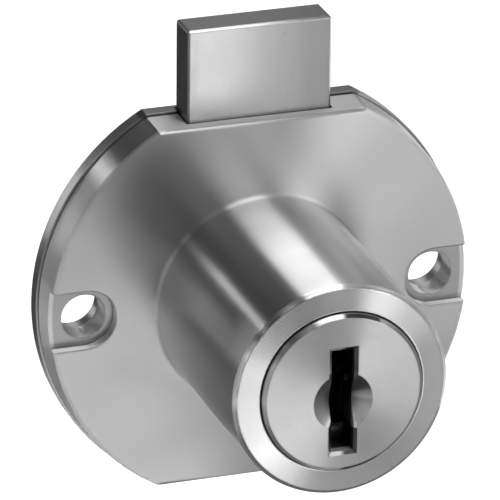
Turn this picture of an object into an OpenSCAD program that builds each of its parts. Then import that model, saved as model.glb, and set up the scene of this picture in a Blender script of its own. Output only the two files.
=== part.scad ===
// Drawer lock: a round case with two flats, a cylinder barrel and a dead bolt that a plug drives by a crank.
// The origin is on the barrel axis in the mounting face. The barrel points to -Y and the bolt to +Z.

/* [Barrel] */
// Outside diameter of the barrel, which passes through the drawer front
barrel_d = 19.05; // [18.8:0.05:21]
// Length of the barrel in front of the mounting face
barrel_len = 20.65; // [20:0.05:26]
// Bevel on the outer front edge of the barrel
barrel_bevel = 0.35; // [0.1:0.05:0.6]
// Fall of the turned front ring from its inner to its outer edge
ring_fall = 0.2; // [0.05:0.05:0.5]
// Fillet where the barrel meets the plate
barrel_fillet = 0.4; // [0.2:0.05:0.8]

/* [Case] */
// Diameter of the round plate
plate_d = 38.1; // [37.6:0.1:44]
// Height of the plate across its two flats
plate_flats = 33.2; // [32.8:0.1:36]
// Thickness of the case behind the mounting face
case_t = 3.4; // [3.2:0.1:4.2]
// Wall between the mounting face and the bolt chamber
front_wall = 1; // [0.8:0.05:1.3]
// Wall that the bolt passes through at the top flat
gate_wall = 2.1; // [1.6:0.1:2.6]
// Rounding of the front edge of the plate
plate_round = 0.35; // [0.1:0.05:0.6]
// Growth of the plate's outline from front to back, left by the mould
plate_draft = 0.12; // [0.05:0.01:0.3]

/* [Screw holes] */
// Distance from the rim of the plate to the middle of a screw hole
hole_inset = 3.175; // [2.9:0.025:3.6]
// Diameter of the screw holes
hole_d = 4; // [3.2:0.1:4.6]
// Width of the sunk pad round each screw hole
pad_w = 5.4; // [5:0.1:6.5]
// Depth of the sunk pads below the mounting face
pad_depth = 1; // [0.5:0.1:1.6]

/* [Back cover] */
// Thickness of the back cover
cover_t = 1.75; // [1.6:0.05:2.5]
// Overhang of the cover past the case
cover_lip = 0.25; // [0:0.05:0.5]
// Bevel on the back edge of the cover
cover_bevel = 0.35; // [0.1:0.05:0.6]
// Shank diameter of the cover rivets
rivet_d = 2; // [1.6:0.1:2.4]
// Head diameter of the cover rivets
rivet_head_d = 3.8; // [3.2:0.1:4.4]
// Head height of the cover rivets
rivet_head_h = 0.7; // [0.4:0.1:1]
// Depth that each rivet goes into the case
rivet_grip = 1.9; // [1.2:0.1:2.2]
// Distance from the rim of the plate to the middle of a rivet
rivet_inset = 2.95; // [2.4:0.05:3.2]
// Angle of the rivets above and below the level of the screw holes
rivet_angle = 36; // [32:1:40]

/* [Bolt] */
// Width of the bolt head
bolt_w = 13; // [10:0.1:14]
// Thickness of the bolt head
bolt_t = 3.3; // [2.8:0.1:3.6]
// Height that the withdrawn bolt still stands out of the flat
bolt_proud = 0.25; // [0:0.05:0.6]
// Bevel on the edges of the bolt head
bolt_bevel = 0.2; // [0.1:0.05:0.4]
// Width of the bolt tail inside the case
tail_w = 18; // [17:0.1:19]
// Thickness of the bolt tail
tail_t = 2.2; // [1.8:0.1:2.3]
// Height of the bolt tail from its lower end to its shoulders
tail_h = 20.9; // [16:0.1:21]
// Rounding of the two lower corners of the bolt tail
tail_round = 3; // [1.5:0.1:4]
// Rounding of the two shoulders of the bolt tail
shoulder_round = 1; // [0.5:0.1:1.4]
// Gap round the bolt in its chamber
bolt_play = 0.1; // [0.05:0.01:0.15]

/* [Driver] */
// Diameter of the driver disc behind the plug
driver_d = 14.6; // [14.2:0.1:15]
// Thickness of the driver disc
driver_t = 1.45; // [1:0.05:1.8]
// Distance of the crank pin from the axis
crank_r = 5.7; // [5:0.05:5.8]
// Diameter of the crank pin
pin_d = 2.2; // [1.8:0.1:2.4]
// Gap between the crank pin and its slot in the bolt
pin_play = 0.25; // [0.22:0.01:0.4]
// Height of the stop lug on the rim of the driver
lug_h = 0.9; // [0.6:0.1:1]
// Half of the angle that the stop lug spans
lug_half = 12; // [8:1:16]
// Width of the tongue between plug and driver
tongue_w = 6; // [4:0.1:7]
// Thickness of the tongue between plug and driver
tongue_t = 3; // [2:0.1:4]

/* [Plug] */
// Diameter of the plug body
plug_d = 12.7; // [12.4:0.05:13]
// Diameter of the plug head
head_d = 14.2; // [13.8:0.1:14.6]
// Height that the plug head stands out of the ring
head_proud = 0.5; // [0.2:0.05:0.8]
// Depth that the plug head goes into the barrel
head_seat = 1.25; // [1:0.05:1.5]
// Bevel on the edge of the plug head
head_bevel = 0.3; // [0.1:0.05:0.4]
// Diameter of the dished mouth of the keyway
dish_d = 5.3; // [4.5:0.1:6]
// Depth of the dished mouth
dish_depth = 1.4; // [0.8:0.1:1.6]
// Width of the keyway
key_w = 2; // [1.6:0.1:2.2]
// Height of the keyway
key_h = 9.3; // [8.6:0.1:9.4]
// Height of the middle of the keyway, measured from the axis
key_z = -0.75; // [-1:0.05:-0.5]
// Bevel round the mouth of the keyway
key_bevel = 0.3; // [0.1:0.05:0.4]
// Size of the two ward ribs that stand into the keyway
ward = 0.35; // [0.2:0.05:0.5]

/* [Wafers] */
// Width of a wafer
wafer_w = 6.4; // [6:0.1:6.6]
// Thickness of a wafer
wafer_t = 0.85; // [0.7:0.05:0.9]
// Distance from one wafer to the next
wafer_pitch = 2.2; // [2.1:0.05:2.25]
// Depth of the first wafer behind the face of the plug
wafer_first = 3.25; // [3.15:0.05:3.5]
// Height that a wafer rises into the barrel's groove without its key
wafer_rise = 0.7; // [0.4:0.05:0.8]
// Side room of the key in a wafer's window
window_gap = 0.3; // [0.2:0.05:0.5]
// Height that the retainer stands out of the plug
retainer_out = 0.6; // [0.4:0.05:0.7]
// Distance from the last wafer to the retainer
retainer_step = 2.7; // [2.6:0.05:3]

/* [Springs] */
// Outside diameter of a wafer spring
spring_d = 1.4; // [1.3:0.05:1.45]
// Wire diameter of a wafer spring
wire_d = 0.22; // [0.16:0.02:0.26]
// Fitted length of a wafer spring
spring_len = 3.9; // [3.4:0.1:4.2]
// Coils of a wafer spring
spring_turns = 6; // [4:1:7]

/* [Clearances] */
// Gap between the plug and the bore of the barrel
bore_gap = 0.05; // [0.02:0.01:0.08]
// Gap between the plug head and the front ring
ring_gap = 0.1; // [0.06:0.01:0.15]
// Gap on each side of pieces that slide in or fit over each other
slide_gap = 0.05; // [0.03:0.01:0.08]
// Gap at the end of pieces that turn or move past each other
end_gap = 0.1; // [0.05:0.01:0.15]

/* [Hidden] */
// Heights of the key's cuts above the bottom of the keyway, one for each wafer
key_cuts = [1.1, 1.6, 0.7, 1.4, 0.9, 1.2];
wafer_count = len(key_cuts);
turn = 90;
$fn = 96;
coil_sides = 5;
coil_steps = 8;
arc_step = 18;
past = 1;

zinc = [0.74, 0.74, 0.75];
nickel = [0.80, 0.80, 0.80];
steel = [0.62, 0.63, 0.65];
brass = [0.80, 0.66, 0.36];

// Outline of the plate and the cover behind it
plate_r = plate_d / 2;
plate_half = plate_flats / 2;
hole_x = plate_r - hole_inset;
rivet_r = plate_r - rivet_inset;
rivet_x = rivet_r * cos(rivet_angle);
rivet_z = rivet_r * sin(rivet_angle);
cover_edge = plate_draft + cover_lip;
lock_t = case_t + cover_t;

// Bolt in its locked place, and its chamber
throw = 2 * crank_r * sin(turn / 2);
bolt_y = front_wall + bolt_play;
bolt_top = plate_half + plate_draft + throw + bolt_proud;
chamber_top = plate_half - gate_wall;
shoulder_z = chamber_top - bolt_play;
tail_z = shoulder_z - tail_h;
head_z = shoulder_z - past;
channel_z = head_z - throw - 2 * bolt_play;
channel_y = bolt_y + bolt_t + bolt_play;
slot_half = pin_d / 2 + pin_play;

// Driver disc in its seat behind the plug
driver_back = front_wall - end_gap / 2;
driver_front = driver_back - driver_t;
driver_seat = driver_front - end_gap;
driver_bore_r = driver_d / 2 + end_gap;
lug_r = driver_d / 2 + lug_h;
stop_r = lug_r + end_gap;
stop_gap = 1;
crank_rest = turn / 2;
lug_rest = crank_rest + 180;

// Plug in the bore of the barrel
barrel_r = barrel_d / 2;
plug_r = plug_d / 2;
bore_r = plug_r + bore_gap;
head_r = head_d / 2;
head_bore_r = head_r + ring_gap;
face_y = -barrel_len - head_proud;
seat_y = -barrel_len + head_seat;
plug_back = driver_front - end_gap / 2;
key_low = key_z - key_h / 2;
key_high = key_z + key_h / 2;

// Wafers, their slots and the grooves that they lock in
wafer_r = plug_r - slide_gap;
slot_t = wafer_t + 2 * slide_gap;
groove_w = wafer_w + 4 * slide_gap;
groove_r = plug_r + wafer_rise + 3 * end_gap;
groove_front = face_y + wafer_first - slot_t / 2 - end_gap;
groove_back = wafer_y(wafer_count) + slot_t / 2 + end_gap;
retainer_y = wafer_y(wafer_count) + retainer_step;
key_end = retainer_y + slot_t;
ring_groove_r = plug_r + retainer_out + 3 * end_gap;
ring_groove_half = slot_t / 2 + end_gap;

// Springs beside the wafers
spring_x = wafer_w / 2 + slide_gap + spring_d / 2;
pocket_r = spring_d / 2 + end_gap;
ear_z = 1.2;
ear_h = 1.2;
ear_x = spring_x + spring_d / 2 - end_gap;
pocket_z = ear_z - spring_len;
retainer_ear_z = ear_z + retainer_out;

// Place of a wafer along the axis
function wafer_y(i) = face_y + wafer_first + (i - 1) * wafer_pitch;

// Rounded front edge of the plate from a given depth as [growth, y] points
function plate_edge(y) = concat(
  [
    for (a = [0:arc_step:90])
      [plate_draft * y / case_t - plate_round * (1 - sin(a)), y + plate_round * (1 - cos(a))]
  ],
  [[plate_draft, case_t]]
);

// Back edge of the cover as [growth, y] points
function cover_outline() = [
  [cover_edge, case_t],
  [cover_edge, lock_t - cover_bevel],
  [cover_edge - cover_bevel, lock_t]
];

// Solid turned about the barrel axis from [radius, y] points
module turned(points) {
  rotate([-90, 0, 0])
    rotate_extrude()
      polygon(points);
}

// Outline seen from the front, given depth from one y to another
module slab(from_y, to_y) {
  translate([0, to_y, 0])
    rotate([90, 0, 0])
      linear_extrude(to_y - from_y)
        children();
}

// Disc with two flats, both following the same edge of [growth, y] points
module flatted_disc(edge) {
  last = len(edge) - 1;
  round_side = [for (e = edge) [plate_r + e[0], e[1]]];
  flat_side = [for (e = edge) [e[1], plate_half + e[0]]];
  low_side = [for (i = [last:-1:0]) [edge[i][1], -plate_half - edge[i][0]]];
  intersection() {
    turned(concat([[0, edge[0][1]]], round_side, [[0, edge[last][1]]]));
    rotate([90, 0, 90])
      linear_extrude(plate_d + 2 * past, center = true)
        polygon(concat(flat_side, low_side));
  }
}

// Outline of the bolt tail between two heights, widened all round by a gap
module tail_outline(low, high, gap) {
  half = tail_w / 2 + gap;
  low_r = tail_round + gap;
  high_r = shoulder_round + gap;
  translate([-half, low + tail_round])
    square([2 * half, high - low - tail_round - shoulder_round]);
  for (side = [-1, 1]) {
    translate([side * (half - low_r), low + tail_round])
      circle(low_r);
    translate([side * (half - high_r), high - shoulder_round])
      circle(high_r);
  }
  translate([low_r - half, low - gap])
    square([2 * (half - low_r), tail_round + gap]);
  translate([high_r - half, high - shoulder_round])
    square([2 * (half - high_r), shoulder_round + gap]);
}

// Part of a disc between two angles
module sector(r, from_a, to_a) {
  reach = r / cos((to_a - from_a) / 8);
  steps = [for (i = [0:4]) from_a + (to_a - from_a) * i / 4];
  intersection() {
    circle(r);
    polygon(concat([[0, 0]], [for (a = steps) reach * [cos(a), sin(a)]]));
  }
}

// Barrel with its base fillet and its turned front ring
module barrel() {
  fillet = [
    for (a = [0:arc_step:90])
      [barrel_r + barrel_fillet * (1 - sin(a)), barrel_fillet * (cos(a) - 1)]
  ];
  turned(concat(
    [[0, past / 2], [barrel_r + barrel_fillet, past / 2]],
    fillet,
    [
      [barrel_r, -barrel_len + ring_fall + barrel_bevel],
      [barrel_r - barrel_bevel, -barrel_len + ring_fall],
      [head_bore_r, -barrel_len],
      [0, -barrel_len]
    ]
  ));
}

// Stepped bore for plug head, plug, retainer and driver disc
module barrel_bore() {
  ring_bevel = ring_gap;
  turned([
    [0, -barrel_len - past],
    [head_bore_r + ring_bevel, -barrel_len - past],
    [head_bore_r + ring_bevel, -barrel_len],
    [head_bore_r, -barrel_len + ring_bevel],
    [head_bore_r, seat_y],
    [bore_r, seat_y],
    [bore_r, retainer_y - ring_groove_half],
    [ring_groove_r, retainer_y - ring_groove_half],
    [ring_groove_r, retainer_y + ring_groove_half],
    [bore_r, retainer_y + ring_groove_half],
    [bore_r, driver_seat],
    [driver_bore_r, driver_seat],
    [driver_bore_r, front_wall + past],
    [0, front_wall + past]
  ]);
}

// Places of the two screw holes
module at_holes() {
  for (side = [-1, 1])
    translate([side * hole_x, 0])
      children();
}

// Places of the four cover rivets in an outline
module at_rivets() {
  for (sx = [-1, 1], sz = [-1, 1])
    translate([sx * rivet_x, sz * rivet_z])
      children();
}

// Sunk pad that runs from round a screw hole out to the rim
module pad_outline() {
  for (side = [-1, 1])
    translate([side * hole_x, 0]) {
      circle(d = pad_w);
      translate([side * plate_d / 4, 0])
        square([plate_d / 2, pad_w], center = true);
    }
}

module case() {
  color(zinc)
    difference() {
      union() {
        difference() {
          flatted_disc(plate_edge(0));
          slab(-past, pad_depth)
            pad_outline();
        }
        flatted_disc(plate_edge(pad_depth));
        barrel();
      }
      barrel_bore();
      slab(groove_front, groove_back)
        square([groove_w, 2 * groove_r], center = true);
      slab(driver_seat, front_wall + past)
        sector(stop_r, lug_rest - turn - lug_half - stop_gap, lug_rest + lug_half + stop_gap);
      slab(front_wall, case_t + past)
        tail_outline(tail_z - throw - bolt_play, shoulder_z, bolt_play);
      slab(front_wall, case_t + past)
        translate([0, plate_half / 2 + past])
          square([bolt_w + 2 * bolt_play, plate_half + 2 * past], center = true);
      slab(-past, case_t + past)
        at_holes()
          circle(d = hole_d);
      slab(case_t - rivet_grip - end_gap, case_t + past)
        at_rivets()
          circle(d = rivet_d + 2 * slide_gap);
    }
}

module back_cover() {
  color(nickel)
    difference() {
      flatted_disc(cover_outline());
      slab(case_t - past, channel_y)
        translate([0, (channel_z + plate_half) / 2 + past])
          square([bolt_w + 2 * bolt_play, plate_half - channel_z + 2 * past], center = true);
      slab(case_t - past, lock_t + past)
        at_holes()
          circle(d = hole_d + 6 * end_gap);
      slab(case_t - past, lock_t + past)
        at_rivets()
          circle(d = rivet_d + 2 * slide_gap);
    }
}

// Rivets with low domed heads on the back of the cover
module cover_rivets() {
  dome_r = (pow(rivet_head_d / 2, 2) + pow(rivet_head_h, 2)) / (2 * rivet_head_h);
  color(steel) {
    slab(case_t - rivet_grip, lock_t + rivet_head_h / 2)
      at_rivets()
        circle(d = rivet_d);
    for (sx = [-1, 1], sz = [-1, 1])
      translate([sx * rivet_x, 0, sz * rivet_z])
        intersection() {
          translate([0, lock_t + rivet_head_h - dome_r, 0])
            sphere(dome_r);
          slab(lock_t, lock_t + rivet_head_h + past)
            circle(d = rivet_head_d);
        }
  }
}

// Rectangle with bevelled corners, standing on the x axis of the outline
module bevelled(w, h, c) {
  polygon([
    [-w / 2 + c, 0], [w / 2 - c, 0], [w / 2, c], [w / 2, h - c],
    [w / 2 - c, h], [-w / 2 + c, h], [-w / 2, h - c], [-w / 2, c]
  ]);
}

// Bolt head with bevels on its upright edges and round its top
module bolt_head() {
  tall = bolt_top - head_z;
  intersection() {
    translate([0, bolt_y, head_z])
      linear_extrude(tall)
        bevelled(bolt_w, bolt_t, bolt_bevel);
    slab(bolt_y, bolt_y + bolt_t)
      translate([0, head_z - tall])
        bevelled(bolt_w, 2 * tall, bolt_bevel);
    rotate([90, 0, 90])
      linear_extrude(bolt_w, center = true)
        translate([bolt_y + bolt_t / 2, head_z - tall])
          bevelled(bolt_t, 2 * tall, bolt_bevel);
  }
}

// Bolt with a wide tail, shoulders and the level slot for the crank pin
module bolt() {
  slot_low_x = crank_r * cos(turn / 2);
  color(nickel)
    difference() {
      union() {
        slab(bolt_y, bolt_y + tail_t)
          tail_outline(tail_z, shoulder_z, 0);
        bolt_head();
      }
      slab(bolt_y - past, bolt_y + tail_t + past)
        translate([0, throw / 2]) {
          translate([(slot_low_x + crank_r) / 2, 0])
            square([crank_r - slot_low_x, 2 * slot_half], center = true);
          translate([slot_low_x, 0])
            circle(slot_half);
          translate([crank_r, 0])
            circle(slot_half);
        }
    }
}

// Slot and spring pocket for one wafer at a place along the axis
module wafer_slot(y) {
  slab(y - slot_t / 2, y + slot_t / 2)
    square([wafer_w + 2 * slide_gap, plug_d + 2 * past], center = true);
  translate([spring_x, y, pocket_z])
    cylinder(r = pocket_r, h = plug_r - pocket_z + past);
}

// Outline across a bevelled mouth at the face, seen along one of its sides
module mouth(w) {
  polygon([
    [-w / 2 - key_bevel - past, face_y - past],
    [w / 2 + key_bevel + past, face_y - past],
    [w / 2, face_y + key_bevel],
    [-w / 2, face_y + key_bevel]
  ]);
}

// Keyway with a bevelled mouth and two ward ribs that start behind the dish
module keyway() {
  ribs_y = face_y + wafer_first - slot_t / 2 - past;
  slab(face_y - past, ribs_y)
    translate([0, key_z])
      square([key_w, key_h], center = true);
  intersection() {
    linear_extrude(2 * plug_d, center = true)
      mouth(key_w);
    translate([0, 0, key_z])
      rotate([0, 90, 0])
        linear_extrude(plug_d, center = true)
          mouth(key_h);
  }
  slab(ribs_y - end_gap, key_end)
    difference() {
      translate([0, key_z])
        square([key_w, key_h], center = true);
      translate([-key_w / 2, key_z - 2 * ward])
        square(2 * ward, center = true);
      translate([key_w / 2, key_z + 4 * ward])
        square(2 * ward, center = true);
    }
}

module plug() {
  color(nickel)
    difference() {
      union() {
        turned([
          [0, face_y],
          [head_r - head_bevel, face_y],
          [head_r, face_y + head_bevel],
          [head_r, seat_y - end_gap / 2],
          [plug_r, seat_y - end_gap / 2],
          [plug_r, plug_back],
          [0, plug_back]
        ]);
        slab(plug_back - past, driver_back - end_gap)
          square([tongue_w, tongue_t], center = true);
      }
      translate([0, 0, key_z])
        turned([[0, face_y - past], [dish_d / 2, face_y - past], [dish_d / 2, face_y], [0, face_y + dish_depth]]);
      keyway();
      for (i = [1:wafer_count])
        wafer_slot(wafer_y(i));
      wafer_slot(retainer_y);
    }
}

// Disc that takes the plug's tongue and carries the crank pin and the stop lug
module driver() {
  color(steel)
    slab(driver_front, driver_back)
      difference() {
        union() {
          circle(d = driver_d);
          sector(lug_r, lug_rest - lug_half, lug_rest + lug_half);
        }
        square([tongue_w + 2 * slide_gap, tongue_t + 2 * slide_gap], center = true);
        translate(crank_r * [cos(crank_rest), sin(crank_rest)])
          circle(d = pin_d + slide_gap);
      }
}

module crank_pin() {
  tip_y = bolt_y + tail_t - end_gap;
  pin_r = pin_d / 2;
  pin_bevel = 2 * end_gap;
  color(steel)
    translate(crank_r * [cos(crank_rest), 0, sin(crank_rest)])
      turned([
        [0, driver_front],
        [pin_r, driver_front],
        [pin_r, tip_y - pin_bevel],
        [pin_r - pin_bevel, tip_y],
        [0, tip_y]
      ]);
}

// Wafer with an ear for its spring and a window from one height to another
module wafer_plate(y, window_low, window_high) {
  color(brass)
    slab(y - wafer_t / 2, y + wafer_t / 2)
      difference() {
        union() {
          intersection() {
            circle(wafer_r);
            square([wafer_w, plug_d], center = true);
          }
          translate([0, ear_z])
            square([ear_x, ear_h]);
        }
        translate([-key_w / 2 - window_gap, window_low])
          square([key_w + 2 * window_gap, window_high - window_low]);
      }
}

module wafer(i) {
  wafer_plate(wafer_y(i), key_low + key_cuts[i - 1], key_high + wafer_rise / 2);
}

module retainer_wafer() {
  translate([0, 0, retainer_out])
    wafer_plate(retainer_y, key_low + key_h / 3, key_high - key_h / 3);
}

// Coil spring standing on its pocket floor, swept as one closed tube
module coil(y, low, high) {
  wire_r = wire_d / 2;
  mean_r = spring_d / 2 - wire_r;
  rings = spring_turns * coil_steps;
  base = low + wire_r + end_gap / 5;
  rise = high - low - 2 * wire_r - 2 * end_gap / 5;
  points = [
    for (i = [0:rings], s = [0:coil_sides - 1])
      let (
        a = 360 * i / coil_steps,
        b = 360 * s / coil_sides,
        r = mean_r + wire_r * cos(b)
      )
      [r * cos(a), r * sin(a), base + rise * i / rings + wire_r * sin(b)]
  ];
  sides = [
    for (i = [0:rings - 1], s = [0:coil_sides - 1])
      let (
        p = i * coil_sides + s,
        q = i * coil_sides + (s + 1) % coil_sides
      )
      each [[p, p + coil_sides, q], [q, p + coil_sides, q + coil_sides]]
  ];
  start_cap = [for (s = [0:coil_sides - 1]) s];
  end_cap = [for (s = [coil_sides - 1:-1:0]) rings * coil_sides + s];
  color(steel)
    translate([spring_x, y, 0])
      polyhedron(points, concat(sides, [start_cap, end_cap]));
}

module wafer_spring(i) {
  coil(wafer_y(i), pocket_z, ear_z);
}

module retainer_spring() {
  coil(retainer_y, pocket_z, retainer_ear_z);
}

case();
back_cover();
cover_rivets();
bolt();
plug();
driver();
crank_pin();
for (i = [1:wafer_count]) {
  wafer(i);
  wafer_spring(i);
}
retainer_wafer();
retainer_spring();
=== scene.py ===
"""Dresses the drawer lock: satin nickel finishes, springs, rivets and a plain pale studio."""

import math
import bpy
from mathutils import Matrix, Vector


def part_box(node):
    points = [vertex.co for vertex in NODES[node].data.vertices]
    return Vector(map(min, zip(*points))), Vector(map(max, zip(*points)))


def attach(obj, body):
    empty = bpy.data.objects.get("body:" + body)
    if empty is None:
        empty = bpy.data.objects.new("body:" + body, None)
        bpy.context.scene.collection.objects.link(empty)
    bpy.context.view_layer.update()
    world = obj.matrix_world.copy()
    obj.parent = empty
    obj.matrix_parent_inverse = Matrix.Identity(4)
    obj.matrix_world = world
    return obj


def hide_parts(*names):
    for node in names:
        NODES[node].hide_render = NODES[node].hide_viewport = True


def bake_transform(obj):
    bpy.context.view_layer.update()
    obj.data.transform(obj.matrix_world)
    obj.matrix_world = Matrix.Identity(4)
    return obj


bl_info = {
    "name": "Drawer lock",
    "version": (1, 0, 0),
    "blender": (4, 5, 0),
    "location": "3D View > Sidebar > Drawer lock",
    "description": "Finishes, springs, rivets and a studio for a round drawer lock",
    "category": "Object",
}

import bpy
from bpy.props import FloatProperty, FloatVectorProperty, IntProperty, PointerProperty
from mathutils import Matrix, Vector

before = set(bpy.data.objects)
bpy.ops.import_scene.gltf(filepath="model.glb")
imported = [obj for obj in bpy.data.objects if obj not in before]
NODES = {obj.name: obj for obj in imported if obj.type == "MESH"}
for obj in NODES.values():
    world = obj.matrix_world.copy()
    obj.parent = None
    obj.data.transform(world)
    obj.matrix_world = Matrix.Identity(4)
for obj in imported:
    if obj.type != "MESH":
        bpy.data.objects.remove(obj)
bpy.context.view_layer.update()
MM = 0.001
WAFERS = sorted(n for n in NODES if n.startswith("wafer_") and "spring" not in n)
SPRINGS = sorted(n for n in NODES if n.startswith("wafer_spring_")) + ["retainer_spring"]


def tint(name, description, default):
    """A colour that shows in the panel."""
    return FloatVectorProperty(
        name=name, description=description, default=default, subtype="COLOR", size=3, min=0, max=1
    )


def length(name, description, default):
    """A length in metres that shows in the panel; its default is given in millimetres."""
    return FloatProperty(
        name=name, description=description, default=default * MM, min=0, unit="LENGTH", precision=5
    )


def angle(name, description, degrees):
    """An angle that shows in the panel."""
    return FloatProperty(
        name=name, description=description, default=math.radians(degrees), subtype="ANGLE"
    )


def level(name, description, default):
    """A brightness that shows in the panel."""
    return FloatProperty(name=name, description=description, default=default, min=0)


class LockFinish(bpy.types.PropertyGroup):
    """Colours and the depth of the marks on the metal."""

    case_colour: tint("Case", "Satin nickel on the case casting", (0.66, 0.66, 0.665))
    plug_colour: tint("Plug", "Satin nickel on the plug", (0.53, 0.53, 0.535))
    bolt_colour: tint("Bolt", "Brushed nickel on the bolt", (0.57, 0.57, 0.575))
    cover_colour: tint("Cover", "Satin nickel on the back cover", (0.62, 0.62, 0.625))
    steel_colour: tint("Steel", "Plain steel of rivets, driver and pin", (0.46, 0.465, 0.475))
    wafer_colour: tint("Wafers", "Stamped nickel silver of the wafers", (0.72, 0.69, 0.62))
    wire_colour: tint("Wire", "Drawn wire of the springs", (0.52, 0.53, 0.55))
    mark_depth: length("Mark depth", "Depth of the tool marks on turned faces", 0.0004)
    edge: length("Soft edge", "Radius that plating leaves on sharp edges", 0.2)


class LockSizes(bpy.types.PropertyGroup):
    """Where the finishes change on the lock, and sizes of the small pieces made here."""

    ring_y: length("Ring depth", "Distance of the turned ring in front of the plate", 20.3)
    plate_r: length("Plate radius", "Radius of the plate at its rounded front edge", 18.7)
    pad_in: length("Pad", "Distance from the middle at which a screw pad begins", 12.85)
    pad_half: length("Pad height", "Half the height of a screw pad's cast face", 3.05)
    flat_z: length("Flats", "Where the plate's flats begin, above and below the axis", 16.5)
    cover_z: length("Cover flats", "Where the cover's flats begin, above and below", 16.65)
    bolt_side: length("Bolt side", "Where the bolt's sheared sides begin, sideways", 6.45)
    bolt_top: length("Bolt top", "Height of the bolt's end above the axis when locked", 25.031)
    plug_y: length("Plug mouth", "Where the plug's mouth begins, in front of the plate", 21.12)
    mouth_half: length("Mouth", "Half the width of the plug's mouth", 3.2)
    dish_half: length("Dish", "Half the height of the dish in the mouth", 2.6)
    dish_drop: length("Dish drop", "How far the dish's middle lies below the axis", 0.75)
    keyway_y: length("Keyway depth", "Where the keyway turns dark, in front of the plate", 20.4)
    wafer_y: length("Wafers seen", "Where the wafers turn dark, in front of the plate", 15.25)
    wire_d: length("Wire", "Wire diameter of the springs", 0.22)
    coil_d: length("Coil", "Outside diameter of the springs", 1.4)
    spring_len: length("Spring length", "Fitted length of a wafer spring", 3.86)
    coils: IntProperty(name="Coils", description="Coils of a spring", default=7, min=3, max=12)
    rivet_head_r: length("Rivet head", "Radius of a rivet head", 1.9)
    rivet_head_h: length("Rivet height", "Height of a rivet head above the cover", 0.68)
    rivet_out: length("Rivet sideways", "Distance of a rivet from the middle, sideways", 13.025)
    rivet_up: length("Rivet up", "Distance of a rivet from the middle, up or down", 9.463)


class StudioSizes(bpy.types.PropertyGroup):
    """Lamps, backdrop and camera."""

    lens: FloatProperty(
        name="Lens", description="Focal length on a 36 mm sensor", default=451.1, min=50
    )
    distance: length("Camera distance", "From the camera to its target", 540.5)
    turn: angle("Camera turn", "Angle round the lock", -19.0365)
    tilt: angle("Camera height", "Angle above the lock", 22.7645)
    roll: angle("Camera roll", "Turn of the picture", 0.5571)
    floor_z: length("Floor depth", "Distance of the floor below the barrel's axis", 70)
    room: level("Room", "Brightness of the dim side of the room", 0.055)
    room_front: level("Room in front", "Brightness of the room before the lock", 0.27)
    lamps: level("Lamps", "Brightness of all soft lamps", 1.0)


# ---- shader building ----


def put(tree, kind, inputs=None, **settings):
    """Adds one node, sets it, and joins or fills its inputs."""
    made = tree.nodes.new(kind)
    for name, value in settings.items():
        setattr(made, name, value)
    for key, value in (inputs or {}).items():
        if isinstance(value, bpy.types.NodeSocket):
            tree.links.new(value, made.inputs[key])
        else:
            made.inputs[key].default_value = value
    return made


def maths(tree, what, a, b=0.0):
    """One sum on values; gives its output."""
    return put(tree, "ShaderNodeMath", {0: a, 1: b}, operation=what).outputs[0]


def vectors(tree, what, a, b=None, out=0):
    """One sum on vectors; gives its output."""
    inputs = {0: a}
    if b is not None:
        inputs["Scale" if what == "SCALE" else 1] = b
    return put(tree, "ShaderNodeVectorMath", inputs, operation=what).outputs[out]


def summed(tree, start, *parts):
    """A start value plus each part times its weight."""
    for value, weight in parts:
        start = maths(tree, "ADD", start, maths(tree, "MULTIPLY", value, weight))
    return start


def ramp(tree, value, low, high, to_low=0.0, to_high=1.0):
    """Maps a value from one range to another with soft ends."""
    made = put(
        tree,
        "ShaderNodeMapRange",
        {"Value": value, "From Min": low, "From Max": high, "To Min": to_low, "To Max": to_high},
        interpolation_type="SMOOTHSTEP",
    )
    return made.outputs["Result"]


def beyond(tree, value, edge, soft):
    """1 past an edge and 0 before it, or the other way round where the softness is negative."""
    return ramp(tree, value, edge - soft, edge + soft)


def away(tree, value, edge, soft):
    """As beyond, on both sides of the middle."""
    return beyond(tree, maths(tree, "ABSOLUTE", value), edge, soft)


def new_group(name, inputs, outputs):
    """An empty shader group with named sockets; gives the tree, what comes in and what goes out."""
    tree = bpy.data.node_groups.new(name, "ShaderNodeTree")

    def socket(label, side):
        kind = "NodeSocketVector" if label == "Normal" else "NodeSocketFloat"
        return tree.interface.new_socket(label, in_out=side, socket_type=kind)

    for label, default in inputs:
        socket(label, "INPUT").default_value = default
    for label in outputs:
        socket(label, "OUTPUT")
    start = tree.nodes.new("NodeGroupInput")
    end = tree.nodes.new("NodeGroupOutput")
    return tree, start.outputs, end.inputs


def object_axes(tree):
    """X, Y and Z of the point in the piece's own frame."""
    coords = put(tree, "ShaderNodeTexCoord").outputs["Object"]
    split = put(tree, "ShaderNodeSeparateXYZ", {0: coords})
    return coords, split.outputs[0], split.outputs[1], split.outputs[2]


def in_frame(tree, vector, kind, given, wanted):
    """A direction of one frame, seen from another."""
    made = put(
        tree,
        "ShaderNodeVectorTransform",
        {0: vector},
        vector_type=kind,
        convert_from=given,
        convert_to=wanted,
    )
    return made.outputs[0]


def noise(tree, vector, scale, detail, **more):
    """A noise pattern; gives its value."""
    inputs = {"Vector": vector, "Scale": scale, "Detail": detail}
    inputs.update({name.capitalize(): value for name, value in more.items()})
    return put(tree, "ShaderNodeTexNoise", inputs).outputs[0]


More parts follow.
